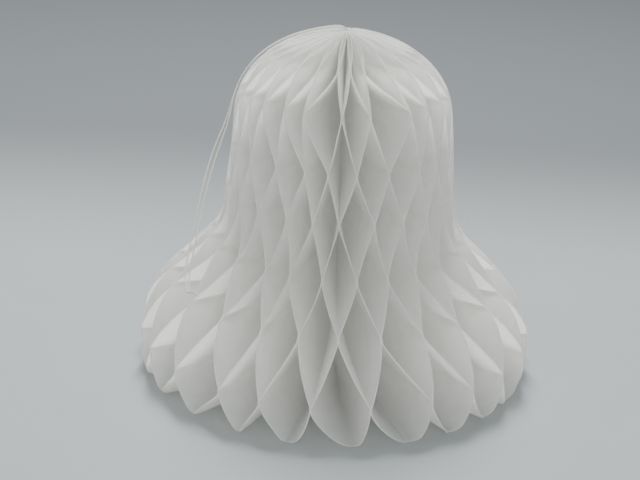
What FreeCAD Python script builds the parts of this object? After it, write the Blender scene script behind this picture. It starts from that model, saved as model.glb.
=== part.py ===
"""Tissue honeycomb bell: forty-eight thin leaves round a stitched spine, between two card covers.

Frame: +Z up, origin on the spine's axis at the level of the mouth, millimetres. The covers meet at the back (+Y).
Each leaf is glued to its neighbours along short bands, on one side and then the other, row by row, so it swings
from one seam to the next as it climbs. Every level section of a leaf is a straight line out from the spine.
"""
import FreeCAD, Part
import Sketcher
import os
from math import asin, atan2, ceil, cos, pi, radians, sin, sqrt, tan

V = FreeCAD.Vector
os.makedirs("parts", exist_ok=True)
doc = FreeCAD.newDocument("HoneycombBell")

# ---------------------------------------------------------------- driving dimensions
sheet = doc.addObject("Spreadsheet::Sheet", "Sizes")
SIZES = [
    # the bell's outline, from the crown down to the mouth
    ("bell_height", 174.0, "mouth to crown"),
    ("crown_radius", 65.0, "arc over the crown"),
    ("shoulder_radius", 38.0, "arc from the crown to the waist"),
    ("waist_radius", 53.75, "where the shoulder ends"),
    ("waist_taper", 5.0, "degrees from upright"),
    ("flare_radius", 35.0, "hollow arc from the waist to the flare"),
    ("flare_slope", 44.0, "degrees from upright"),
    ("rim_radius", 100.3, "widest radius"),
    ("rim_height", 15.0, "level of the widest point"),
    ("rim_arc", 44.0, "rounded arc of the rim"),
    ("lip_radius", 6.0, "rounded lower corner of a leaf"),
    # the leaves
    ("leaf_count", 48.0, "tissue leaves all the way round, an even number"),
    ("leaf_thickness", 0.1, "tissue, made thick enough for a solid"),
    ("leaf_gap", 0.1, "between two leaves at a glue band"),
    ("glue_pitch", 23.6, "from one glue row to the next"),
    ("glue_band", 4.0, "height of a glue band"),
    ("fan_start", 3.1, "degrees from straight back to the covers' seam"),
    ("spine_radius", 3.3, "stitched and glued spine"),
    ("spine_gap", 0.2, "spine to the leaves' inner edges"),
    ("spine_drop", 0.5, "crown down to the spine's top"),
    # the covers, and what holds them shut
    ("cover_thickness", 0.3, "thin card"),
    ("cover_inner", 5.0, "radius where a cover starts"),
    ("cover_gap", 0.1, "cover to leaf"),
    ("strip_thickness", 0.1, "adhesive strip on the fixed cover"),
    ("strip_gap", 0.1, "strip to the turning cover"),
    ("strip_width", 12.0, "adhesive strip"),
    ("strip_length", 100.0, "adhesive strip"),
    ("strip_reach", 34.0, "spine's axis to the strip"),
    ("strip_bottom", 22.0, "mouth to the strip's lower end"),
    # the hanging thread
    ("thread_diameter", 0.8, "twisted cotton"),
    ("knot_diameter", 2.8, "overhand knot that closes the loop"),
    ("tail_length", 7.5, "cut ends past the knot"),
]
for row, (alias, value, note) in enumerate(SIZES, start=1):
    sheet.set(f"A{row}", alias)
    sheet.set(f"B{row}", str(value))
    sheet.set(f"C{row}", note)
    sheet.setAlias(f"B{row}", alias)
doc.recompute()


def size(alias):
    return float(sheet.get(alias))


def plane(body, role):
    """One of a body's own origin planes."""
    return next(f for f in body.Origin.OriginFeatures if f.Role == role)


def sketch_on(body, name, role):
    sketch = body.newObject("Sketcher::SketchObject", name)
    sketch.AttachmentSupport = [(plane(body, role), "")]
    sketch.MapMode = "FlatFace"
    return sketch


def tie(sketch, name, expression, *constraint):
    """Adds a dimension to a sketch, names it and binds it to the sheet."""
    sketch.renameConstraint(sketch.addConstraint(Sketcher.Constraint(*constraint)), name)
    sketch.setExpression("Constraints." + name, expression)


# ---------------------------------------------------------------- the outline all leaves and covers are cut to
def tangent_points():
    """Centres and end points of the outline's arcs, each tangent to the next, as (radius, level)."""
    taper, slope = radians(size("waist_taper")), radians(size("flare_slope"))
    shoulder, crown = size("shoulder_radius"), size("crown_radius")
    rim, lip, flare = size("rim_arc"), size("lip_radius"), size("flare_radius")
    at = {"crown": (0.0, size("bell_height") - crown)}
    reach = size("waist_radius") - shoulder * cos(taper)
    turn = asin(reach / (crown - shoulder))
    at["shoulder"] = (reach, at["crown"][1] + (crown - shoulder) * cos(turn))
    at["crown_end"] = (crown * sin(turn), at["crown"][1] + crown * cos(turn))
    at["waist_top"] = (size("waist_radius"), at["shoulder"][1] + shoulder * sin(taper))
    at["rim"] = (size("rim_radius") - rim, size("rim_height"))
    at["flare_end"] = (at["rim"][0] + rim * cos(slope), at["rim"][1] + rim * sin(slope))
    # the flare's centre lies one flare radius outside both the waist line and the flare line
    along_waist = flare + at["waist_top"][0] * cos(taper) + at["waist_top"][1] * sin(taper)
    along_flare = flare + at["flare_end"][0] * cos(slope) + at["flare_end"][1] * sin(slope)
    spread = sin(slope - taper)
    x = (along_waist * sin(slope) - along_flare * sin(taper)) / spread
    z = (along_flare * cos(taper) - along_waist * cos(slope)) / spread
    at["flare"] = (x, z)
    at["waist_end"] = (x - flare * cos(taper), z - flare * sin(taper))
    at["flare_start"] = (x - flare * cos(slope), z - flare * sin(slope))
    drop = lip - at["rim"][1]
    at["lip"] = (at["rim"][0] + sqrt((rim - lip) ** 2 - drop**2), lip)
    at["lip_angle"] = atan2(drop, at["lip"][0] - at["rim"][0])
    at["crown_turn"] = turn
    return at


def outline_sketch(body):
    """Half the bell's section: mouth, lip, rim, flare, waist, shoulder and crown, closed along the axis."""
    at = tangent_points()
    taper, slope = radians(size("waist_taper")), radians(size("flare_slope"))
    turn, tilt = at["crown_turn"], at["lip_angle"]
    points = {name: V(*place, 0) for name, place in at.items() if isinstance(place, tuple)}
    top, foot = V(0, size("bell_height"), 0), V(0, 0, 0)

    def arc(centre, radius, start, end):
        circle = Part.Circle(points[centre], V(0, 0, 1), size(radius))
        return Part.ArcOfCircle(circle, start, end)

    sketch = sketch_on(body, "Outline", "XZ_Plane")
    lip_foot = V(at["lip"][0], 0, 0)
    edges = [
        Part.LineSegment(foot, lip_foot),
        arc("lip", "lip_radius", -pi / 2, tilt),
        arc("rim", "rim_arc", tilt, slope),
        Part.LineSegment(points["flare_end"], points["flare_start"]),
        arc("flare", "flare_radius", pi + taper, pi + slope),
        Part.LineSegment(points["waist_end"], points["waist_top"]),
        arc("shoulder", "shoulder_radius", taper, pi / 2 - turn),
        arc("crown", "crown_radius", pi / 2 - turn, pi / 2),
        Part.LineSegment(top, foot),
    ]
    mouth, lip, rim, flare_line, flare, waist, shoulder, crown, axis = (
        sketch.addGeometry(edge, False) for edge in edges
    )
    start, end, centre = 1, 2, 3
    on_axis, origin = -2, -1
    # an arc runs anticlockwise, so the hollow flare arc is met at its other ends
    for one, its_end, other, other_end in (
        (mouth, end, lip, start),
        (lip, end, rim, start),
        (rim, end, flare_line, start),
        (flare_line, end, flare, end),
        (flare, start, waist, start),
        (waist, end, shoulder, start),
        (shoulder, end, crown, start),
    ):
        sketch.addConstraint(Sketcher.Constraint("Tangent", one, its_end, other, other_end))
    for constraint in (
        ("Coincident", crown, end, axis, start),
        ("Coincident", axis, end, mouth, start),
        ("Coincident", mouth, start, origin, start),
        ("Vertical", axis),
        ("Horizontal", mouth),
        ("PointOnObject", crown, centre, on_axis),
    ):
        sketch.addConstraint(Sketcher.Constraint(*constraint))
    upright = radians(90)
    for name, expression, constraint in (
        ("Height", "Sizes.bell_height", ("DistanceY", origin, start, crown, end, top.y)),
        ("CrownArc", "Sizes.crown_radius", ("Radius", crown, size("crown_radius"))),
        ("ShoulderArc", "Sizes.shoulder_radius", ("Radius", shoulder, size("shoulder_radius"))),
        ("FlareArc", "Sizes.flare_radius", ("Radius", flare, size("flare_radius"))),
        ("RimArc", "Sizes.rim_arc", ("Radius", rim, size("rim_arc"))),
        ("LipArc", "Sizes.lip_radius", ("Radius", lip, size("lip_radius"))),
        ("Waist", "Sizes.waist_radius", ("DistanceX", origin, start, waist, end, at["waist_top"][0])),
        ("RimLevel", "Sizes.rim_height", ("DistanceY", origin, start, rim, centre, at["rim"][1])),
        ("RimCentre", "Sizes.rim_radius - Sizes.rim_arc",
         ("DistanceX", origin, start, rim, centre, at["rim"][0])),
        ("Taper", "90 deg + Sizes.waist_taper * 1 deg", ("Angle", waist, upright + taper)),
        ("Slope", "90 deg + Sizes.flare_slope * 1 deg", ("Angle", flare_line, upright + slope)),
    ):
        tie(sketch, name, expression, *constraint)
    return sketch


def bell_form():
    """The solid of revolution that every leaf and cover is cut to."""
    body = doc.addObject("PartDesign::Body", "BellForm")
    sketch = outline_sketch(body)
    turned = body.newObject("PartDesign::Revolution", "Turned")
    turned.Profile = sketch
    turned.ReferenceAxis = (sketch, ["V_Axis"])
    turned.Angle = 360
    return body


# ---------------------------------------------------------------- the leaves
BETWEEN_LEAVES = "(Sizes.leaf_thickness + Sizes.leaf_gap) / 2"
HALF_SEAM = "(Sizes.strip_thickness + Sizes.strip_gap) / 2"
AGAINST_COVER = (
    HALF_SEAM + " + Sizes.cover_thickness + Sizes.cover_gap + Sizes.leaf_thickness / 2"
)
HALF_STEP = "180 deg / Sizes.leaf_count"
CLEAR_OF_FORM = 5  # how far the uncut leaf reaches past the outline


def leaf_section(body, name, level, side, shift):
    """A thin rectangle from the spine outward at one level, turned half a step to one side.

    side is -1 or 1, and shift is how far the tissue's middle stands back from the seam it is glued along.
    """
    sketch = sketch_on(body, name, "XY_Plane")
    inner, reach = size("spine_radius"), size("rim_radius")
    low, high = (-1.0, -0.5) if side > 0 else (0.5, 1.0)
    corners = [V(inner, low, 0), V(reach, low, 0), V(reach, high, 0), V(inner, high, 0)]
    for n in range(4):
        sketch.addGeometry(Part.LineSegment(corners[n], corners[(n + 1) % 4]), False)
    for n in range(4):
        sketch.addConstraint(Sketcher.Constraint("Coincident", n, 2, (n + 1) % 4, 1))
        sketch.addConstraint(Sketcher.Constraint("Vertical" if n % 2 else "Horizontal", n))
    near = (0, 1) if side < 0 else (3, 1)  # the corner nearer to the seam
    tie(sketch, "Inner", "Sizes.spine_radius + Sizes.spine_gap", "DistanceX", -1, 1, 0, 1, inner)
    tie(sketch, "Reach", f"Sizes.rim_radius + {CLEAR_OF_FORM}", "DistanceX", -1, 1, 0, 2, reach)
    tie(sketch, "Thick", "Sizes.leaf_thickness", "DistanceY", 0, 1, 3, 1, high - low)
    from_seam = f"{shift} - Sizes.leaf_thickness / 2"
    if side < 0:
        tie(sketch, "Back", from_seam, "DistanceY", -1, 1, *near, low)
    else:
        tie(sketch, "Back", from_seam, "DistanceY", *near, -1, 1, -high)
    sketch.setExpression("AttachmentOffset.Base.z", level)
    sketch.setExpression("AttachmentOffset.Rotation.Angle", f"{side} * {HALF_STEP}")
    return sketch


def leaf_form(name, first_side, low_shift=BETWEEN_LEAVES, high_shift=BETWEEN_LEAVES):
    """One kind of leaf before it is cut: glued on first_side at the mouth, then on the other, row by row.

    low_shift and high_shift are its stand-off from the seams on its two sides.
    """
    body = doc.addObject("PartDesign::Body", name)
    rows = ceil(size("bell_height") / size("glue_pitch")) + 1
    sections = []
    for row in range(rows):
        side = first_side if row % 2 == 0 else -first_side
        shift = low_shift if side < 0 else high_shift
        for end, sign in (("Low", "-"), ("High", "+")):
            level = f"{row} * Sizes.glue_pitch {sign} Sizes.glue_band / 2"
            sections.append(leaf_section(body, f"{name}{row}{end}", level, side, shift))
    loft = body.newObject("PartDesign::AdditiveLoft", name + "Loft")
    loft.Profile = sections[0]
    loft.Sections = sections[1:]
    loft.Ruled = True
    return body


def cut_to(form, blank, name):
    cut = doc.addObject("Part::Common", name)
    cut.Base = blank
    cut.Tool = form
    return cut


def leaves(form):
    """The ring of leaves, counted anticlockwise from the covers' seam."""
    kinds = {
        "first": leaf_form("FirstLeaf", -1, low_shift=AGAINST_COVER),
        "odd": leaf_form("OddLeaf", 1),
        "even": leaf_form("EvenLeaf", -1),
        "last": leaf_form("LastLeaf", 1, high_shift=AGAINST_COVER),
    }
    shapes = {kind: cut_to(form, blank, blank.Name + "Cut") for kind, blank in kinds.items()}
    count = round(size("leaf_count"))
    made = []
    for n in range(count):
        kind = "odd" if n % 2 else "even"
        if n in (0, count - 1):
            kind = "last" if n else "first"
        leaf = doc.addObject("Part::Compound", f"Leaf{n + 1:02d}")
        leaf.Links = [shapes[kind]]
        leaf.Label = f"leaf_{n + 1:02d}"
        turn = f"90 deg + Sizes.fan_start * 1 deg + {n + 0.5} * 360 deg / Sizes.leaf_count"
        leaf.setExpression("Placement.Rotation.Angle", turn)
        made.append(leaf)
    return made


# ---------------------------------------------------------------- covers, closing strip and spine
def in_seam(form, label, low, thickness, reach, width, bottom, length):
    """A flat piece standing in the covers' seam: low is its lower face's distance from the seam's plane."""
    name = "".join(word.capitalize() for word in label.split("_"))
    blank = doc.addObject("Part::Box", name + "Blank")
    blank.setExpression("Length", width)
    blank.setExpression("Width", thickness)
    blank.setExpression("Height", length)
    blank.setExpression("Placement.Base.x", reach)
    blank.setExpression("Placement.Base.y", low)
    blank.setExpression("Placement.Base.z", bottom)
    piece = cut_to(form, blank, name)
    piece.Label = label
    piece.setExpression("Placement.Rotation.Angle", "90 deg + Sizes.fan_start * 1 deg")
    return piece


def covers(form):
    sheet_of_card = {
        "thickness": "Sizes.cover_thickness",
        "reach": "Sizes.cover_inner",
        "width": f"Sizes.rim_radius + {CLEAR_OF_FORM}",
        "bottom": "0",
        "length": "Sizes.bell_height",
    }
    return [
        in_seam(form, "cover_fixed", low=HALF_SEAM, **sheet_of_card),
        in_seam(form, "cover_turning", low=f"-{HALF_SEAM} - Sizes.cover_thickness", **sheet_of_card),
    ]


def closing_strip(form):
    return in_seam(
        form,
        "closing_strip",
        low=f"{HALF_SEAM} - Sizes.strip_thickness",
        thickness="Sizes.strip_thickness",
        reach="Sizes.strip_reach",
        width="Sizes.strip_width",
        bottom="Sizes.strip_bottom",
        length="Sizes.strip_length",
    )


def spine():
    """The stitched and glued inner edges, drawn as the plain rod that the leaves turn about."""
    body = doc.addObject("PartDesign::Body", "Spine")
    body.Label = "spine_binding"
    sketch = sketch_on(body, "SpineCircle", "XY_Plane")
    sketch.addGeometry(Part.Circle(V(0, 0, 0), V(0, 0, 1), size("spine_radius")), False)
    sketch.addConstraint(Sketcher.Constraint("Coincident", 0, 3, -1, 1))
    tie(sketch, "Round", "Sizes.spine_radius", "Radius", 0, size("spine_radius"))
    pad = body.newObject("PartDesign::Pad", "SpineRod")
    pad.Profile = sketch
    pad.setExpression("Length", "Sizes.bell_height - Sizes.spine_drop")
    return body


# ---------------------------------------------------------------- the hanging thread
SPINE_TOP = size("bell_height") - size("spine_drop")
KNOT_AT = V(-70.9, -44.9, 52.6)
# out of the spine's top, over the dome to the left, off the shoulder and down to the knot on the flare
STRAND_A = [
    V(-1.0, 1.3, SPINE_TOP), V(-1.0, 1.3, 175.1), V(-3.2, 1.7, 176.0), V(-8.6, 2.4, 175.3),
    V(-17.0, 3.8, 173.2), V(-26.0, 5.3, 170.0), V(-35.2, 6.7, 165.0), V(-43.4, 6.8, 158.5),
    V(-50.2, 5.3, 149.7), V(-54.4, 2.2, 139.8), V(-57.4, -1.2, 127.6), V(-62.0, -4.6, 116.6),
    V(-65.4, -10.2, 105.8), V(-68.2, -17.9, 92.8), V(-70.3, -26.2, 78.4), V(-72.4, -32.8, 67.4),
    V(-73.6, -38.6, 58.6), KNOT_AT + V(-0.6, 0.5, 0.5),
]
STRAND_B = [
    V(-1.0, -0.5, SPINE_TOP), V(-1.0, -0.5, 175.1), V(-3.4, -0.4, 176.1), V(-8.7, 0.6, 175.2),
    V(-17.2, 2.2, 173.1), V(-26.2, 3.8, 169.9), V(-35.3, 5.2, 164.9), V(-43.6, 5.2, 158.4),
    V(-50.4, 3.5, 149.6), V(-54.3, 0.0, 139.6), V(-56.3, -3.6, 127.0), V(-60.0, -6.8, 115.8),
    V(-63.2, -11.8, 105.2), V(-66.0, -19.1, 92.2), V(-68.2, -27.3, 78.0), V(-70.2, -34.0, 66.6),
    V(-71.2, -39.4, 58.6), KNOT_AT + V(0.5, 0.3, 0.6),
]
TAIL_WAYS = [V(0.72, -0.70, 0.05), V(0.75, -0.67, 0.155)]
BEND_SHARE = 0.45  # of the shorter run beside a bend, given to its arc


def tube_along(points, radius, name):
    """A round tube along straight runs joined by tangent arcs, each arc as large as its runs allow."""
    edges, last, radii = [], points[0], []
    for before, at, after in zip(points, points[1:], points[2:]):
        into, out = (at - before).normalize(), (after - at).normalize()
        cut = BEND_SHARE * min((at - before).Length, (after - at).Length)
        half_turn = into.getAngle(out) / 2
        radii.append(cut / tan(half_turn))
        middle = (out - into).normalize()
        sagitta = radii[-1] * (1 / cos(half_turn) - 1)
        start, top, end = at - into * cut, at + middle * sagitta, at + out * cut
        edges.append(Part.LineSegment(last, start).toShape())
        edges.append(Part.Arc(start, top, end).toShape())
        last = end
    edges.append(Part.LineSegment(last, points[-1]).toShape())
    path = Part.Wire(edges)
    section = Part.Wire([Part.Circle(points[0], points[1] - points[0], radius).toShape()])
    tube = path.makePipeShell([section], True, False)
    ideal = pi * radius**2 * path.Length
    print(name, "length %.1f, volume share %.4f" % (path.Length, tube.Volume / ideal),
          "radii", " ".join("%.1f" % r for r in radii))
    return tube


def thread():
    made = []
    for name, label, points in (
        ("StrandA", "thread_strand_a", STRAND_A),
        ("StrandB", "thread_strand_b", STRAND_B),
    ):
        strand = doc.addObject("Part::Feature", name)
        strand.Label = label
        strand.Shape = tube_along(points, size("thread_diameter") / 2, label)
        made.append(strand)
    return made


def knot():
    """The overhand knot and the two cut ends that stick out of it."""
    ball = doc.addObject("Part::Sphere", "KnotBall")
    ball.setExpression("Radius", "Sizes.knot_diameter / 2")
    pieces = [ball]
    for n, way in enumerate(TAIL_WAYS):
        tail = doc.addObject("Part::Cylinder", f"Tail{n + 1}")
        tail.setExpression("Radius", "Sizes.thread_diameter / 2")
        tail.setExpression("Height", "Sizes.knot_diameter / 2 + Sizes.tail_length")
        tail.Placement = FreeCAD.Placement(V(0, 0, 0), FreeCAD.Rotation(V(0, 0, 1), way))
        pieces.append(tail)
    tied = doc.addObject("Part::MultiFuse", "Knot")
    tied.Shapes = pieces
    tied.Label = "thread_knot"
    tied.Placement = FreeCAD.Placement(KNOT_AT, FreeCAD.Rotation())
    return tied


# ---------------------------------------------------------------- build, check and write
form = bell_form()
parts = [*covers(form), closing_strip(form), spine(), *leaves(form), *thread(), knot()]
doc.recompute()
for item in doc.Objects:
    if "Invalid" in item.State or "Error" in item.State:
        raise RuntimeError(f"{item.Name} did not build: {item.State}")
for part in parts:
    if part.Shape.isNull() or not part.Shape.isValid():
        raise RuntimeError(f"{part.Label} has no valid shape")
    if len(part.Shape.Solids) != 1:
        raise RuntimeError(f"{part.Label} has {len(part.Shape.Solids)} solids")
    part.Shape.exportStep(f"parts/{part.Label}.step")
print(len(parts), "parts written")
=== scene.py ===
"""Tissue honeycomb bell: the visual model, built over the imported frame."""

import random
from math import acos, asin, atan2, cos, pi, radians, sin, sqrt, tau

import bpy
from mathutils import Matrix, Vector, noise


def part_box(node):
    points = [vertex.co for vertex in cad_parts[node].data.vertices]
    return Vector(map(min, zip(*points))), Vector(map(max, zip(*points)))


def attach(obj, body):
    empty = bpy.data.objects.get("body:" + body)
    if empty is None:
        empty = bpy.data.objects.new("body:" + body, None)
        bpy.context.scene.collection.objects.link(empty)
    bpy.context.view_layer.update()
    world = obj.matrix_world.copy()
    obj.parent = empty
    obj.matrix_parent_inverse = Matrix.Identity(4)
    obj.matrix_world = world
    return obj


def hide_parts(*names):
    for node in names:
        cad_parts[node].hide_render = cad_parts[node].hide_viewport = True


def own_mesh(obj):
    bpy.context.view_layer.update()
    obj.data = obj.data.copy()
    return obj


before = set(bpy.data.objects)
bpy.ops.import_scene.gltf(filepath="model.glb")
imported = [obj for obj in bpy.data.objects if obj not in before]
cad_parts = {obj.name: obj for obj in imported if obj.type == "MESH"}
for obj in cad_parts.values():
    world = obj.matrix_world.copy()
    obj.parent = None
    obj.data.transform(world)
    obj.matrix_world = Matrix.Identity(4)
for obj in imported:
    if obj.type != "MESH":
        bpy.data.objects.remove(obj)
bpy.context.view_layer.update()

bl_info = {
    "name": "Honeycomb Bell",
    "version": (1, 0, 0),
    "blender": (4, 5, 0),
    "location": "View3D > Sidebar > Bell",
    "description": "Builds an open tissue honeycomb bell with its covers, spine and hanging thread",
    "category": "Object",
}

MM = 0.001
SENSOR_WIDTH = 36.0  # mm
LEAVES = sorted(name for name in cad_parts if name.startswith("leaf_"))
SPINE_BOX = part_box("spine_binding")
SPINE_TOP = SPINE_BOX[1][2]


# ---------------------------------------------------------------- sizes and colours a user would change
def length(name, description, default, low=0.0):
    return bpy.props.FloatProperty(
        name=name, description=description, default=default, min=low, unit="LENGTH", precision=5
    )


def angle(name, description, degrees):
    return bpy.props.FloatProperty(
        name=name, description=description, default=radians(degrees), unit="ROTATION"
    )


def colour(name, description, value):
    return bpy.props.FloatVectorProperty(
        name=name, description=description, default=value, size=3, min=0, max=1, subtype="COLOR"
    )


def from_hex(code):
    """An sRGB hex colour as linear red, green and blue."""
    channels = (int(code[n:n + 2], 16) / 255 for n in (1, 3, 5))
    return tuple(c / 12.92 if c <= 0.04045 else ((c + 0.055) / 1.055) ** 2.4 for c in channels)


class BellOutline(bpy.types.PropertyGroup):
    """The line that all leaves are cut to, from the crown down to the mouth."""

    height: length("Height", "Mouth to crown", 174 * MM)
    crown: length("Crown arc", "Radius of the arc over the crown", 65 * MM)
    shoulder: length("Shoulder arc", "Radius of the arc into the waist", 38 * MM)
    waist: length("Waist radius", "Where the shoulder ends", 53.75 * MM)
    taper: angle("Waist taper", "From upright", 5)
    flare: length("Flare arc", "Hollow arc below the waist", 35 * MM)
    slope: angle("Flare slope", "From upright", 44)
    rim: length("Rim radius", "Widest radius", 100.3 * MM)
    rim_level: length("Rim level", "Height of the widest point", 15 * MM)
    rim_arc: length("Rim arc", "Rounded arc of the rim", 44 * MM)
    lip: length("Lip", "Rounded lower corner of a leaf", 6 * MM)


class BellTissue(bpy.types.PropertyGroup):
    """The leaves and how they are glued."""

    thickness: length("Tissue", "Thickness of a leaf", 0.07 * MM)
    burr: length("Cut edge", "Thickness of a leaf's cut edge, where the fibres stand up", 0.6 * MM)
    burr_width: length("Cut edge's width", "How far in the fibres stand up", 0.6 * MM)
    seam_half: length("Seam stand-off", "Middle of a leaf's cut edge to the seam it is glued along", 0.32 * MM)
    seam_inner: length("Inner stand-off", "The same, inside the cut edge", 0.12 * MM)
    cover_stand: length("Cover stand-off", "Middle of an end leaf to the covers' seam, inside the cut edge", 0.55 * MM)
    band: length("Glue band", "Height of a glue band", 2.8 * MM)
    mouth_band: length("Glue at the mouth", "Height of the lowest glue", 0.6 * MM)
    core: length("Inner edge", "Spine's axis to the leaves' inner edges", 2.0 * MM)
    fan_start: angle("Fan start", "From straight back to the covers' seam", 3.1)
    ease: bpy.props.FloatProperty(
        name="Ease", description="How softly a leaf leaves a glue band", default=0.05, min=0, max=1
    )
    uneven: angle("Unevenness", "How far a glued joint strays from its place", 1.1)
    crinkle: length("Crinkle", "Depth of the tissue's soft waves", 0.45 * MM)
    white: colour("Tissue", "Bleached tissue", from_hex("#fcfcfa"))
    shade: colour("Tissue, thin places", "Where the fibres lie thin", from_hex("#f6f6f4"))
    # painted light: an even emission on every leaf, standing in for light scattered through many leaves, though the
    # tissue is no lamp
    painted_glow: bpy.props.FloatProperty(
        name="Glow", description="Light that has come through many leaves", default=0.17, min=0, max=1
    )


class BellFittings(bpy.types.PropertyGroup):
    """Covers, spine, thread and the stage."""

    thread: length("Thread", "Diameter of the hanging thread", 0.8 * MM)
    twist: length("Twist", "One turn of the thread's plies", 2.4 * MM)
    knot: length("Knot", "Size of the overhand knot", 2.8 * MM)
    tail: length("Tail", "Cut ends past the knot", 7.5 * MM)
    card: colour("Card", "White lined card", from_hex("#ecebe4"))
    cotton: colour("Cotton", "Unbleached cotton", from_hex("#f0ecdf"))
    table: colour("Table", "Pale table top, near", from_hex("#a9afaf"))
    # painted shade: the far tone darkens the back of the table as though less light reached it
    table_far_painted_shade: colour("Table, far", "Pale table top, towards the back", from_hex("#74797b"))


# ---------------------------------------------------------------- small helpers
def alone():
    """Deselects everything, so that an operator acts on the new object only."""
    if bpy.context.object and bpy.context.object.mode != "OBJECT":
        bpy.ops.object.mode_set(mode="OBJECT")
    bpy.ops.object.select_all(action="DESELECT")


def pick(piece):
    alone()
    piece.select_set(True)
    bpy.context.view_layer.objects.active = piece
    return piece


def apply_modifiers(piece):
    pick(piece)
    for modifier in list(piece.modifiers):
        bpy.ops.object.modifier_apply(modifier=modifier.name)


def finish_piece(piece, material, smooth=50):
    """Gives a piece its finish and puts its place into its mesh."""
    pick(piece)
    bpy.ops.object.transform_apply(location=True, rotation=True, scale=True)
    bpy.ops.object.shade_smooth_by_angle(angle=radians(smooth))
    piece.data.materials.clear()
    piece.data.materials.append(material)
    return piece


def node(tree, kind, links=None, **settings):
    """Adds a node, sets its inputs or properties, and links its inputs: links maps an input to an output."""
    made = tree.nodes.new(kind)
    for key, value in settings.items():
        name = key.replace("_", " ")
        socket = made.inputs.get(name) or made.inputs.get(name.title())
        if socket is not None and not hasattr(made, key):
            socket.default_value = value
        else:
            setattr(made, key, value)
    for key, output in (links or {}).items():
        tree.links.new(output, made.inputs[key])
    return made


def new_material(name):
    material = bpy.data.materials.new(name)
    material.use_nodes = True
    material.node_tree.nodes.clear()
    return material, material.node_tree


def ramp_between(tree, factor, low, high, start=0.3, end=0.7):
    """Blends two colours over a stretch of a pattern."""
    ramp = node(tree, "ShaderNodeValToRGB", {"Fac": factor})
    ramp.color_ramp.elements[0].position = start
    ramp.color_ramp.elements[1].position = end
    ramp.color_ramp.elements[0].color = (*low, 1)
    ramp.color_ramp.elements[1].color = (*high, 1)
    return ramp.outputs["Color"]


# ---------------------------------------------------------------- materials
def tissue_material(sizes):
    """Bleached machine-glazed tissue, about 18 g/m2: soft, matt, lets light through, with long thin fibres, and an
    even painted glow that stands in for light scattered through many leaves.
    """
    material, tree = new_material("bleached tissue paper")
    sheet = node(tree, "ShaderNodeUVMap", uv_map="sheet").outputs["UV"]
    # clouds of thick and thin fibre, 6 mm across, and the fibre itself, drawn 0.7 mm wide so that it shows
    cloud = node(tree, "ShaderNodeTexNoise", {"Vector": sheet}, Scale=160.0, Detail=3.0)
    along = node(tree, "ShaderNodeMapping", {"Vector": sheet}, Scale=(1.0, 0.25, 1.0))
    fibre = node(tree, "ShaderNodeTexNoise", {"Vector": along.outputs[0]}, Scale=1400.0, Detail=4.0)
    mixed = node(tree, "ShaderNodeMath", {0: cloud.outputs[0], 1: fibre.outputs[0]}, operation="MULTIPLY")
    tone = ramp_between(tree, mixed.outputs[0], sizes.shade, sizes.white, 0.12, 0.36)
    creases = node(tree, "ShaderNodeTexNoise", {"Vector": sheet}, Scale=90.0, Detail=5.0, Roughness=0.55)
    soft = node(tree, "ShaderNodeBump", {"Height": creases.outputs[0]}, Strength=0.25, Distance=0.0012)
    fine = node(
        tree, "ShaderNodeBump", {"Height": fibre.outputs[0], "Normal": soft.outputs[0]},
        Strength=0.2, Distance=0.0001,
    )
    # the emission is painted light: an even glow for light scattered through many leaves
    face = node(
        tree, "ShaderNodeBsdfPrincipled", {"Base Color": tone, "Normal": fine.outputs[0]},
        Roughness=0.85, IOR=1.45, Specular_IOR_Level=0.25, Emission_Color=(0.96, 0.955, 0.97, 1.0),
        Emission_Strength=sizes.painted_glow,
    )
    through = node(tree, "ShaderNodeBsdfTranslucent", {"Color": tone, "Normal": soft.outputs[0]})
    both = node(tree, "ShaderNodeMixShader", {1: face.outputs[0], 2: through.outputs[0]}, Fac=0.85)
    node(tree, "ShaderNodeOutputMaterial", {"Surface": both.outputs[0]})
    return material


def card_material(sizes):
    """White-lined chipboard, 0.3 mm: a smooth clay face with faint grey flecks."""
    material, tree = new_material("white lined card")
    place = node(tree, "ShaderNodeTexCoord").outputs["Object"]
    grain = node(tree, "ShaderNodeTexNoise", {"Vector": place}, Scale=500.0, Detail=5.0)
    low = tuple(c * 0.9 for c in sizes.card)
    tone = ramp_between(tree, grain.outputs[0], low, sizes.card)
    bump = node(tree, "ShaderNodeBump", {"Height": grain.outputs[0]}, Strength=0.15, Distance=0.0001)
    face = node(
        tree, "ShaderNodeBsdfPrincipled", {"Base Color": tone, "Normal": bump.outputs[0]},
        Roughness=0.6, IOR=1.5,
    )
    node(tree, "ShaderNodeOutputMaterial", {"Surface": face.outputs[0]})
    return material


def adhesive_material():
    """Clear acrylic adhesive transfer film, slightly yellow, with trapped air."""
    material, tree = new_material("adhesive film")
    place = node(tree, "ShaderNodeTexCoord").outputs["Object"]
    air = node(tree, "ShaderNodeTexNoise", {"Vector": place}, Scale=700.0, Detail=3.0)
    tone = ramp_between(tree, air.outputs[0], from_hex("#d8d2b8"), from_hex("#ebe6d2"))
    face = node(tree, "ShaderNodeBsdfPrincipled", {"Base Color": tone}, Roughness=0.35, IOR=1.47)
    node(tree, "ShaderNodeOutputMaterial", {"Surface": face.outputs[0]})
    return material


def cotton_material(sizes):
    """Twisted cotton: matt, with a soft halo of loose fibre."""
    material, tree = new_material("twisted cotton thread")
    place = node(tree, "ShaderNodeTexCoord").outputs["Object"]
    fluff = node(tree, "ShaderNodeTexNoise", {"Vector": place}, Scale=4000.0, Detail=4.0)
    low = tuple(c * 0.82 for c in sizes.cotton)
    tone = ramp_between(tree, fluff.outputs[0], low, sizes.cotton)
    bump = node(tree, "ShaderNodeBump", {"Height": fluff.outputs[0]}, Strength=0.4, Distance=0.0001)
    face = node(
        tree, "ShaderNodeBsdfPrincipled", {"Base Color": tone, "Normal": bump.outputs[0]},
        Roughness=0.9, IOR=1.53, Sheen_Weight=0.3, Sheen_Roughness=0.5,
    )
    node(tree, "ShaderNodeOutputMaterial", {"Surface": face.outputs[0]})
    return material


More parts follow.
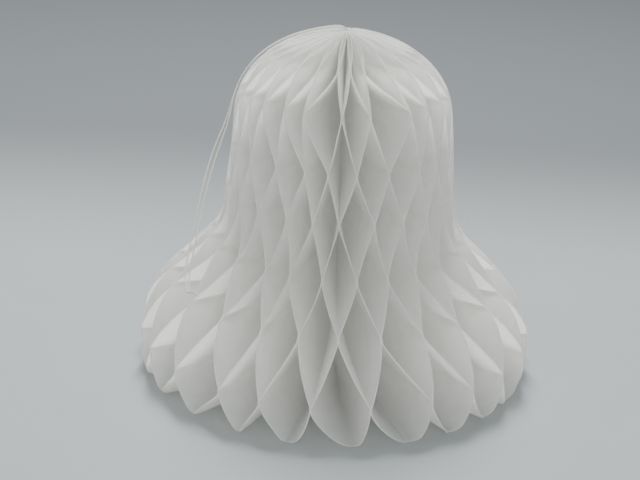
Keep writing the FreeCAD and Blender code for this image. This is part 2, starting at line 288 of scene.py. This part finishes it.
def binding_material(sizes):
    """Tissue edges soaked in white glue and whipped with cotton."""
    material, tree = new_material("glued and stitched binding")
    place = node(tree, "ShaderNodeTexCoord").outputs["Object"]
    clots = node(tree, "ShaderNodeTexNoise", {"Vector": place}, Scale=900.0, Detail=4.0)
    low = tuple(c * 0.85 for c in sizes.card)
    tone = ramp_between(tree, clots.outputs[0], low, sizes.card)
    bump = node(tree, "ShaderNodeBump", {"Height": clots.outputs[0]}, Strength=0.5, Distance=0.0002)
    face = node(
        tree, "ShaderNodeBsdfPrincipled", {"Base Color": tone, "Normal": bump.outputs[0]},
        Roughness=0.5, IOR=1.46,
    )
    node(tree, "ShaderNodeOutputMaterial", {"Surface": face.outputs[0]})
    return material


MIX_A, MIX_B, MIX_COLOUR = 6, 7, 2  # a colour mix's own sockets


def table_material(sizes):
    """A plain painted table top: a faint unevenness 40 mm across, and painted shade that makes its far part a little
    greyer, as though less light reached the back.
    """
    material, tree = new_material("painted table top")
    place = node(tree, "ShaderNodeTexCoord").outputs["Object"]
    cloud = node(tree, "ShaderNodeTexNoise", {"Vector": place}, Scale=25.0, Detail=2.0)
    near = ramp_between(tree, cloud.outputs[0], tuple(c * 0.98 for c in sizes.table), sizes.table)
    # painted shade: between 0.10 and 0.42 m back the top blends into the darker far tone, standing in for light
    # falling off
    depth = node(tree, "ShaderNodeSeparateXYZ", {0: place})
    back = node(
        tree, "ShaderNodeMapRange", {0: depth.outputs["Y"]}, interpolation_type="SMOOTHSTEP",
        From_Min=0.10, From_Max=0.42,
    )
    near_tone_and_painted_shade = node(
        tree, "ShaderNodeMix", {0: back.outputs[0], MIX_A: near}, data_type="RGBA", blend_type="MIX"
    )
    near_tone_and_painted_shade.inputs[MIX_B].default_value = (*sizes.table_far_painted_shade, 1)
    face = node(tree, "ShaderNodeBsdfPrincipled", {"Base Color": near_tone_and_painted_shade.outputs[MIX_COLOUR]}, Roughness=0.6)
    node(tree, "ShaderNodeOutputMaterial", {"Surface": face.outputs[0]})
    return material


# ---------------------------------------------------------------- the outline and the leaves
# into how many runs each stretch of a leaf's cut line is divided
RIM_STEPS, LIP_STEPS, SLOPE_STEPS, FLARE_STEPS = 32, 10, 18, 16
WAIST_STEPS, SHOULDER_STEPS, CROWN_STEPS = 34, 34, 16


def arc_points(centre, radius, start, end, count):
    """Points along an arc, without its last one, as (radius, level)."""
    turns = [start + (end - start) * n / count for n in range(count)]
    return [(centre[0] + radius * cos(a), centre[1] + radius * sin(a)) for a in turns]


def outline_points(o, core, creases):
    """The cut line of a leaf from its lower inner corner round the lip, rim, flare, waist and dome to its top."""
    reach = o.waist - o.shoulder * cos(o.taper)
    turn = asin(reach / (o.crown - o.shoulder))
    crown = (0.0, o.height - o.crown)
    shoulder = (reach, crown[1] + (o.crown - o.shoulder) * cos(turn))
    waist_top = (o.waist, shoulder[1] + o.shoulder * sin(o.taper))
    rim = (o.rim - o.rim_arc, o.rim_level)
    flare_end = (rim[0] + o.rim_arc * cos(o.slope), rim[1] + o.rim_arc * sin(o.slope))
    along_waist = o.flare + waist_top[0] * cos(o.taper) + waist_top[1] * sin(o.taper)
    along_flare = o.flare + flare_end[0] * cos(o.slope) + flare_end[1] * sin(o.slope)
    spread = sin(o.slope - o.taper)
    flare = (
        (along_waist * sin(o.slope) - along_flare * sin(o.taper)) / spread,
        (along_flare * cos(o.taper) - along_waist * cos(o.slope)) / spread,
    )
    drop = o.lip - rim[1]
    lip = (rim[0] + sqrt((o.rim_arc - o.lip) ** 2 - drop**2), o.lip)
    tilt = atan2(drop, lip[0] - rim[0])
    top_turn = acos(core / o.crown)
    waist_end = (flare[0] - o.flare * cos(o.taper), flare[1] - o.flare * sin(o.taper))
    waist = [
        tuple(a + (b - a) * n / WAIST_STEPS for a, b in zip(waist_end, waist_top))
        for n in range(WAIST_STEPS)
    ]
    flare_start = (flare[0] - o.flare * cos(o.slope), flare[1] - o.flare * sin(o.slope))
    slope = [
        tuple(a + (b - a) * n / SLOPE_STEPS for a, b in zip(flare_end, flare_start))
        for n in range(SLOPE_STEPS)
    ]
    line = [
        *arc_points(lip, o.lip, -pi / 2, tilt, LIP_STEPS),
        *arc_points(rim, o.rim_arc, tilt, o.slope, RIM_STEPS),
        *slope,
        *arc_points(flare, o.flare, pi + o.slope, pi + o.taper, FLARE_STEPS),
        *waist,
        *arc_points(shoulder, o.shoulder, o.taper, pi / 2 - turn, SHOULDER_STEPS),
        *arc_points(crown, o.crown, pi / 2 - turn, top_turn, CROWN_STEPS),
        (core, crown[1] + o.crown * sin(top_turn)),
    ]
    # a point wherever a leaf leaves a glue band, so that it creases there
    for level in creases:
        at = next(n for n in range(len(line) - 1) if line[n][1] < level <= line[n + 1][1])
        share = (level - line[at][1]) / (line[at + 1][1] - line[at][1])
        line.insert(at + 1, (line[at][0] + (line[at + 1][0] - line[at][0]) * share, level))
    return line


ACROSS = 14  # strips of a leaf from the spine out
FRONT = len(LEAVES) // 2  # the seam that faces the front, counted from the covers' seam
FADE = 8  # seams over which the front's unevenness dies away
SEED = 7  # of the random strays

# the glue rows' levels, in mm, and how far their joints at the front are pulled from their even places:
# the first joint, counted from the front one, and the degrees for it and each second one after it
ROWS = (
    (0.0, -6, (0.1, 0.9, 0.4, 4.0, 5.3, 3.7)),
    (20.3, -5, (2.6, 0.6, -0.2, 0.5, 3.2, 2.3)),
    (48.7, -4, (4.0, 1.1, -1.2, -2.6, -3.2)),
    (69.4, -5, (3.2, 0.2, -1.0, -1.7, -2.4, -3.4)),
    (94.2, -6, (1.3, 1.4, -0.2, -2.4, -0.5, -1.3)),
    (117.7, -5, (1.4, 3.0, -0.9, -2.0, -0.3, 1.4)),
    (144.4, -2, (-8.1, -3.3, -3.6, 4.7)),
    (163.2, -1, (-0.4, -6.2, -10.7)),
    (188.8, 0, (0.0,)),
)


def pulled(row, place):
    """How far a joint is pulled from its even place, in degrees."""
    first, turns = ROWS[row][1:]
    at = min(max((place - first) / 2, 0.0), len(turns) - 1.0)
    low = min(int(at), len(turns) - 1)
    high = min(low + 1, len(turns) - 1)
    beyond = max(first - place, place - first - 2 * (len(turns) - 1), 0)
    turn = turns[low] + (turns[high] - turns[low]) * (at - low)
    return turn * max(0.0, 1 - beyond / FADE)


def seam_angles(tissue):
    """Where each glued joint lies: the angle of every seam at every row."""
    draw = random.Random(SEED)
    count = len(LEAVES)
    seams = []
    for seam in range(count + 1):
        place = seam - FRONT
        loose = min(1.0, abs(place) / FADE) if 0 < seam < count else 0.0
        seams.append([
            pi / 2 + tissue.fan_start + seam * tau / count + radians(pulled(row, place))
            + draw.gauss(0, tissue.uneven) * loose
            for row in range(len(ROWS))
        ])
    return seams


def crease_levels(tissue):
    """The upper and lower end of each glue band."""
    half_band = tissue.band / 2
    levels = [row[0] * MM for row in ROWS[1:-1]]
    return [tissue.mouth_band, *(level + end for level in levels for end in (-half_band, half_band))]


def seam_side(leaf, row):
    """0 where a leaf is glued on its lower seam in this row, 1 where on its higher one."""
    return (leaf + row) % 2


# how fast a leaf opens above the mouth: the lower, the rounder the petal that it ends in
STRAIGHT_PETAL, ROUND_PETAL, LEANING_PETAL = 1.15, 0.45, 0.7
STRAIGHT_PETALS = range(FRONT - 11, FRONT - 2)  # the leaves left of the front that end in a point
PETAL_TIP = 1.2  # above 1, the two halves of a petal part slowly at its tip


def petal(leaf):
    """The way this leaf opens above the mouth."""
    if leaf in STRAIGHT_PETALS:
        return STRAIGHT_PETAL
    return ROUND_PETAL if seam_side(leaf, 0) == 0 else LEANING_PETAL


def leaf_swing(leaf, level, seams, tissue, from_seam):
    """A leaf's angle and its stand-off at one level, and how free it is of glue there, from 0 to 1."""
    levels = [row[0] * MM for row in ROWS]
    row = max(n for n in range(len(levels) - 1) if levels[n] <= level)
    start, end = levels[row] + tissue.band / 2, levels[row + 1] - tissue.band / 2
    if row == 0:
        start = tissue.mouth_band
    share = min(max((level - start) / (end - start), 0.0), 1.0)
    if row == 0:
        share = 1 - (1 - share ** petal(leaf)) ** PETAL_TIP
    else:
        share += (share * share * (3 - 2 * share) - share) * tissue.ease
    here, there = seam_side(leaf, row), seam_side(leaf, row + 1)
    stand = []
    for side in (here, there):
        away = from_seam
        if leaf + side in (0, len(LEAVES)):
            away = tissue.cover_stand + from_seam - tissue.seam_inner
        stand.append(away if side == 0 else -away)
    turn = seams[leaf + here][row] * (1 - share) + seams[leaf + there][row + 1] * share
    return turn, stand[0] * (1 - share) + stand[1] * share, 4 * share * (1 - share)


FREE_REACH = 25 * MM  # nearer the spine than this the tissue is held ever flatter
# the tissue's waves: per metre out and up, a step from leaf to leaf, and the share of the crinkle's depth
WAVES = ((45, 28, 3.7, 1.0), (110, 70, 5.1, 0.5))


def flat_blank(outline):
    """One uncut sheet: a flat grid with a row of points for each level of the outline."""
    alone()
    bpy.ops.mesh.primitive_grid_add(
        x_subdivisions=ACROSS, y_subdivisions=len(outline) - 1, size=2, calc_uvs=True
    )
    blank = bpy.context.object
    blank.name = "leaf_blank"
    return blank


def shape_leaf(piece, leaf, outline, seams, tissue):
    """Cuts a copy of the flat sheet to the outline and swings each level to its place."""
    sheet = piece.data.uv_layers[0]
    sheet.name = "sheet"
    cut_edge = piece.vertex_groups.new(name="cut_edge")
    last = len(outline) - 1
    flat = {}
    for vertex in piece.data.vertices:
        level_at = round((vertex.co.y + 1) / 2 * last)
        strip = round((vertex.co.x + 1) / 2 * ACROSS)
        radius, level = outline[level_at]
        reach, from_seam = radius, tissue.seam_half
        if strip < ACROSS:
            from_seam = tissue.seam_inner
            inside = max(radius - tissue.burr_width, tissue.core)
            reach = tissue.core + (inside - tissue.core) * strip / (ACROSS - 1)
        else:
            cut_edge.add([vertex.index], 1.0, "REPLACE")
        turn, stand, free = leaf_swing(leaf, level, seams, tissue, from_seam)
        soft = sum(
            part * noise.noise(Vector((reach * out, level * up, leaf * step)))
            for out, up, step, part in WAVES
        )
        stand += soft * tissue.crinkle * free * min(1.0, reach / FREE_REACH)
        vertex.co = (
            reach * cos(turn) - stand * sin(turn), reach * sin(turn) + stand * cos(turn), level
        )
        flat[vertex.index] = (radius - reach, level)
    for loop in piece.data.loops:
        sheet.data[loop.index].uv = flat[loop.vertex_index]


class BELL_OT_leaves(bpy.types.Operator):
    """Cuts and hangs the tissue leaves round the spine"""

    bl_idname = "bell.leaves"
    bl_label = "Tissue Leaves"

    def execute(self, context):
        scene = context.scene
        tissue = scene.bell_tissue
        outline = outline_points(scene.bell_outline, tissue.core, crease_levels(tissue))
        seams = seam_angles(tissue)
        material = tissue_material(tissue)
        blank = flat_blank(outline)
        for leaf, name in enumerate(LEAVES):
            piece = blank.copy()
            piece.data = blank.data.copy()
            piece.name = name + "_tissue"
            scene.collection.objects.link(piece)
            shape_leaf(piece, leaf, outline, seams, tissue)
            solid = piece.modifiers.new("Tissue thickness", "SOLIDIFY")
            solid.thickness = tissue.burr
            solid.offset = 0
            solid.vertex_group = "cut_edge"
            solid.thickness_vertex_group = tissue.thickness / tissue.burr
            apply_modifiers(piece)
            for vertex in piece.data.vertices:
                vertex.co.z = max(vertex.co.z, 0.0)  # the lower edge stands on the table
            finish_piece(piece, material, CREASE)
            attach(piece, name)
            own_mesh(piece)
            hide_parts(name)
        bpy.data.objects.remove(blank)
        return {"FINISHED"}


CREASE = 11  # degrees between two faces from which the tissue shows a crease


# ---------------------------------------------------------------- covers, strip and spine
class BELL_OT_covers(bpy.types.Operator):
    """Finishes the two card covers and the adhesive strip between them"""

    bl_idname = "bell.covers"
    bl_label = "Card Covers"

    def execute(self, context):
        card = card_material(context.scene.bell_fittings)
        for name, material in (
            ("cover_fixed", card),
            ("cover_turning", card),
            ("closing_strip", adhesive_material()),
        ):
            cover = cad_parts[name]
            cover.data.materials.clear()
            cover.data.materials.append(material)
        return {"FINISHED"}


SPINE_SIDES = 48
SPINE_CLEAR = 0.1 * MM  # between the rod and the leaves' inner edges
WHIP_PITCH = 3.0 * MM  # from one turn of the whipping thread to the next
WHIP_RINGS = 6  # rings of the mesh in each turn
WHIP_DEPTH = 0.12 * MM


class BELL_OT_spine(bpy.types.Operator):
    """Models the stitched and glued spine that the leaves turn about"""

    bl_idname = "bell.spine"
    bl_label = "Spine"

    def execute(self, context):
        sizes, tissue = context.scene.bell_fittings, context.scene.bell_tissue
        radius = tissue.core - SPINE_CLEAR
        alone()
        bpy.ops.mesh.primitive_cylinder_add(
            vertices=SPINE_SIDES, radius=radius, depth=SPINE_TOP, location=(0, 0, SPINE_TOP / 2)
        )
        rod = bpy.context.object
        rod.name = "spine_stitched"
        bpy.ops.object.transform_apply(location=True)
        bpy.ops.object.mode_set(mode="EDIT")
        cuts = int(SPINE_TOP / WHIP_PITCH * WHIP_RINGS)
        for n in range(1, cuts):
            bpy.ops.mesh.select_all(action="SELECT")
            bpy.ops.mesh.bisect(plane_co=(0, 0, SPINE_TOP * n / cuts), plane_no=(0, 0, 1))
        bpy.ops.object.mode_set(mode="OBJECT")
        # the whipping thread winds up the rod, and the glue sinks a little between its turns
        for vertex in rod.data.vertices:
            around = atan2(vertex.co.y, vertex.co.x)
            wave = cos(tau * vertex.co.z / WHIP_PITCH - around)
            grow = 1 - WHIP_DEPTH / radius * (0.5 - 0.5 * wave)
            vertex.co.x *= grow
            vertex.co.y *= grow
        finish_piece(rod, binding_material(sizes), 60)
        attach(rod, "fixed_cover")
        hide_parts("spine_binding")
        return {"FINISHED"}


# ---------------------------------------------------------------- the hanging thread
KNOT_AT = Vector((-70.9, -44.9, 52.6)) * MM
# out of the spine's top, over the dome to the left, off the shoulder and down to the knot on the flare, in mm
STRAND_A = [
    (-1.0, 1.3, 173.5), (-1.0, 1.3, 175.1), (-3.2, 1.7, 176.0), (-8.6, 2.4, 175.3),
    (-17.0, 3.8, 173.2), (-26.0, 5.3, 170.0), (-35.2, 6.7, 165.0), (-43.4, 6.8, 158.5),
    (-50.2, 5.3, 149.7), (-54.4, 2.2, 139.8), (-57.4, -1.2, 127.6), (-62.0, -4.6, 116.6),
    (-65.4, -10.2, 105.8), (-68.2, -17.9, 92.8), (-70.3, -26.2, 78.4), (-72.4, -32.8, 67.4),
    (-73.6, -38.6, 58.6), (-71.5, -44.4, 53.1),
]
STRAND_B = [
    (-1.0, -0.5, 173.5), (-1.0, -0.5, 175.1), (-3.4, -0.4, 176.1), (-8.7, 0.6, 175.2),
    (-17.2, 2.2, 173.1), (-26.2, 3.8, 169.9), (-35.3, 5.2, 164.9), (-43.6, 5.2, 158.4),
    (-50.4, 3.5, 149.6), (-54.3, 0.0, 139.6), (-56.3, -3.6, 127.0), (-60.0, -6.8, 115.8),
    (-63.2, -11.8, 105.2), (-66.0, -19.1, 92.2), (-68.2, -27.3, 78.0), (-70.2, -34.0, 66.6),
    (-71.2, -39.4, 58.6), (-70.4, -44.6, 53.2),
]
TAIL_WAYS = [Vector((0.72, -0.70, 0.05)).normalized(), Vector((0.75, -0.67, 0.155)).normalized()]
PLY_SIDES = 10
PLY_DEPTH = 0.2  # how deep the groove between the two plies is, as a share of the radius
THREAD_BODY = "fixed_cover"
LINE_STEPS = 36  # how finely a strand's line is drawn between two of its route's points
KNOT_POINTS, KNOT_LINE_STEPS, TAIL_LINE_STEPS = 24, 4, 16
KNOT_PARTING = 0.45  # half the way between the knot's two cords, as a share of a cord's radius
KNOT_DEPTH, KNOT_HEIGHT = 0.8, 0.75  # the knot's size along Y and Z, as shares of its size along X
KNOT_SQUEEZE, TAIL_SQUEEZE, TAIL_TIP = 0.8, 0.85, 0.6  # how thin the pulled cord and its ends become
TAIL_SHORTER = 0.25  # the second cut end is shorter by this share
TAIL_RISE, TAIL_RISE_FIRST = 0.5 * MM, 0.4  # each cut end bows up, the first by this share of it
TAIL_BENDS = (0.4, 0.75)  # where along a cut end it bows


def spline_line(name, points, closed=False, steps=LINE_STEPS):
    """The points of a smooth line that has the given ones as its control points."""
    curve = bpy.data.curves.new(name, "CURVE")
    curve.dimensions = "3D"
    curve.resolution_u = steps
    spline = curve.splines.new("NURBS")
    spline.points.add(len(points) - 1)
    for point, place in zip(spline.points, points):
        point.co = (*place, 1)
    spline.use_endpoint_u = not closed
    spline.use_cyclic_u = closed
    spline.order_u = 3
    guide = bpy.data.objects.new(name + "_line", curve)
    bpy.context.scene.collection.objects.link(guide)
    bpy.context.view_layer.update()
    mesh = bpy.data.meshes.new_from_object(guide.evaluated_get(bpy.context.evaluated_depsgraph_get()))
    line = [vertex.co.copy() for vertex in mesh.vertices]
    bpy.data.objects.remove(guide)
    bpy.data.meshes.remove(mesh)
    return line


def twisted_tube(name, line, radius, twist, closed=False, ends=1.0):
    """A two-ply thread along a line: a round tube with a groove that winds round it."""
    count = len(line)
    verts, faces = [], []
    way = (line[1] - line[0]).normalized()
    side = way.orthogonal().normalized()
    run = 0.0
    for n, place in enumerate(line):
        before = line[n - 1] if n or closed else place
        after = line[(n + 1) % count] if n < count - 1 or closed else place
        new_way = (after - before).normalized()
        side = (side - new_way * side.dot(new_way)).normalized()
        other = new_way.cross(side)
        if n:
            run += (place - line[n - 1]).length
        taper = ends if not closed and n in (0, count - 1) else 1.0
        for k in range(PLY_SIDES):
            around = tau * k / PLY_SIDES
            size = radius * taper * (1 - PLY_DEPTH * (0.5 - 0.5 * cos(2 * (around - tau * run / twist / 2))))
            verts.append(place + side * (cos(around) * size) + other * (sin(around) * size))
    rings = count if closed else count - 1
    for n in range(rings):
        for k in range(PLY_SIDES):
            a, b = n * PLY_SIDES, (n + 1) % count * PLY_SIDES
            j = (k + 1) % PLY_SIDES
            faces.append((a + k, a + j, b + j, b + k))
    if not closed:
        faces.append(tuple(reversed(range(PLY_SIDES))))
        faces.append(tuple(range((count - 1) * PLY_SIDES, count * PLY_SIDES)))
    mesh = bpy.data.meshes.new(name)
    mesh.from_pydata(verts, [], faces)
    piece = bpy.data.objects.new(name, mesh)
    bpy.context.scene.collection.objects.link(piece)
    pick(piece)
    bpy.ops.object.mode_set(mode="EDIT")
    bpy.ops.mesh.select_all(action="SELECT")
    bpy.ops.mesh.normals_make_consistent(inside=False)
    bpy.ops.object.mode_set(mode="OBJECT")
    return piece


def tied_knot(sizes):
    """A doubled overhand knot: two cords of the loop wound once through themselves, with two cut ends."""
    radius = sizes.thread / 2
    span = sizes.knot / 2 - radius
    parts = []
    for n, offset in enumerate((-KNOT_PARTING * radius, KNOT_PARTING * radius)):
        ring = []
        for k in range(KNOT_POINTS):
            t = tau * k / KNOT_POINTS
            flat = (2 + cos(3 * t)) / 3
            ring.append(KNOT_AT + Vector((
                span * flat * cos(2 * t), KNOT_DEPTH * span * flat * sin(2 * t) + offset,
                KNOT_HEIGHT * span * sin(3 * t),
            )))
        line = spline_line("knot", ring, True, KNOT_LINE_STEPS)
        parts.append(twisted_tube(f"knot_turn_{n}", line, radius * KNOT_SQUEEZE, sizes.twist, True))
    for n, way in enumerate(TAIL_WAYS):
        reach = sizes.knot / 2 + sizes.tail * (1 - TAIL_SHORTER * n)
        bow = Vector((0, 0, TAIL_RISE * (n + TAIL_RISE_FIRST)))
        bends = [KNOT_AT + way * reach * share + bow for share in TAIL_BENDS]
        line = spline_line("tail", [KNOT_AT, *bends, KNOT_AT + way * reach], steps=TAIL_LINE_STEPS)
        parts.append(
            twisted_tube(f"knot_tail_{n}", line, radius * TAIL_SQUEEZE, sizes.twist, ends=TAIL_TIP)
        )
    pick(parts[0])
    for part in parts:
        part.select_set(True)
    bpy.ops.object.join()
    knot = bpy.context.object
    knot.name = "thread_knot_tied"
    return knot


class BELL_OT_thread(bpy.types.Operator):
    """Hangs the doubled cotton thread and ties its knot"""

    bl_idname = "bell.thread"
    bl_label = "Hanging Thread"

    def execute(self, context):
        sizes = context.scene.bell_fittings
        cotton = cotton_material(sizes)
        knot = tied_knot(sizes)
        finish_piece(knot, cotton, 70)
        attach(knot, THREAD_BODY)
        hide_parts("thread_knot")
        for name, points in (("thread_strand_a", STRAND_A), ("thread_strand_b", STRAND_B)):
            route = [Vector(point) * MM for point in points]
            line = spline_line(name, route)
            strand = twisted_tube(name + "_cotton", line, sizes.thread / 2, sizes.twist)
            finish_piece(strand, cotton, 70)
            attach(strand, THREAD_BODY)
            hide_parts(name)
        return {"FINISHED"}


# ---------------------------------------------------------------- the stage
# metres and degrees, and the lens in mm
CAMERA = {
    "distance": 0.709, "aim_height": 0.0655, "across": 0.0043, "elevation": 20.9,
    "turn": -1.15, "roll": 2.3, "lens": 78.25,
}
FLOOR_SIZE = 6.0
ROOM_COLOUR, ROOM_LIGHT = "#eef2f6", 0.55
LIGHTS = (
    # name, place, aim and size in metres, power in watts
    ("overhead", (-0.05, 0.5, 1.3), (0, 0, 0.05), 0.5, 25.0),
    ("window", (-1.1, -0.6, 1.2), (0, 0, 0.08), 1.2, 3.4),
    ("front", (0.3, -2.2, 0.85), (0, 0, 0.06), 1.4, 20.0),
)


class BELL_OT_stage(bpy.types.Operator):
    """Sets the table, the lights and the camera"""

    bl_idname = "bell.stage"
    bl_label = "Stage"

    def execute(self, context):
        sizes = context.scene.bell_fittings
        scene = context.scene
        alone()
        bpy.ops.mesh.primitive_plane_add(size=FLOOR_SIZE)
        floor = bpy.context.object
        floor.name = "table_top"
        finish_piece(floor, table_material(sizes))
        for name, place, aim, size, power in LIGHTS:
            lamp = bpy.data.lights.new(name, "AREA")
            lamp.shape = "SQUARE"
            lamp.size = size
            lamp.energy = power
            light = bpy.data.objects.new(name, lamp)
            light.location = place
            light.rotation_euler = (Vector(aim) - Vector(place)).to_track_quat("-Z", "Y").to_euler()
            scene.collection.objects.link(light)
        world = bpy.data.worlds.new("room")
        world.use_nodes = True
        background = world.node_tree.nodes["Background"]
        background.inputs["Color"].default_value = (*from_hex(ROOM_COLOUR), 1)
        background.inputs["Strength"].default_value = ROOM_LIGHT
        scene.world = world
        elevation, turn = radians(CAMERA["elevation"]), radians(CAMERA["turn"])
        way = Vector((sin(turn) * cos(elevation), cos(turn) * cos(elevation), -sin(elevation)))
        place = Vector((
            CAMERA["across"], -CAMERA["distance"] * cos(elevation),
            CAMERA["aim_height"] + CAMERA["distance"] * sin(elevation),
        ))
        eye = bpy.data.cameras.new("camera")
        eye.lens = CAMERA["lens"]
        eye.sensor_width = SENSOR_WIDTH
        camera = bpy.data.objects.new("camera", eye)
        upright = way.to_track_quat("-Z", "Y").to_matrix().to_4x4()
        rolled = upright @ Matrix.Rotation(radians(CAMERA["roll"]), 4, "Z")
        camera.matrix_world = Matrix.Translation(place) @ rolled
        scene.collection.objects.link(camera)
        scene.camera = camera
        return {"FINISHED"}


class BELL_PT_build(bpy.types.Panel):
    """Lists the bell's pieces"""

    bl_idname = "BELL_PT_build"
    bl_label = "Honeycomb Bell"
    bl_space_type = "VIEW_3D"
    bl_region_type = "UI"
    bl_category = "Bell"

    def draw(self, context):
        for step in STEPS:
            self.layout.operator(step.bl_idname)
        for group in (context.scene.bell_outline, context.scene.bell_tissue, context.scene.bell_fittings):
            box = self.layout.box()
            for name in group.__annotations__:
                box.prop(group, name)


STEPS = (BELL_OT_stage, BELL_OT_thread, BELL_OT_leaves, BELL_OT_covers, BELL_OT_spine)
GROUPS = {"bell_outline": BellOutline, "bell_tissue": BellTissue, "bell_fittings": BellFittings}


def register():
    for group in GROUPS.values():
        bpy.utils.register_class(group)
    for name, group in GROUPS.items():
        setattr(bpy.types.Scene, name, bpy.props.PointerProperty(type=group))
    for step in (*STEPS, BELL_PT_build):
        bpy.utils.register_class(step)


def unregister():
    for step in reversed((*STEPS, BELL_PT_build)):
        bpy.utils.unregister_class(step)
    for name, group in GROUPS.items():
        delattr(bpy.types.Scene, name)
        bpy.utils.unregister_class(group)


def main():
    register()
    bpy.ops.bell.stage()
    bpy.ops.bell.thread()
    bpy.ops.bell.leaves()
    bpy.ops.bell.covers()
    bpy.ops.bell.spine()


if __name__ == "__main__":
    main()
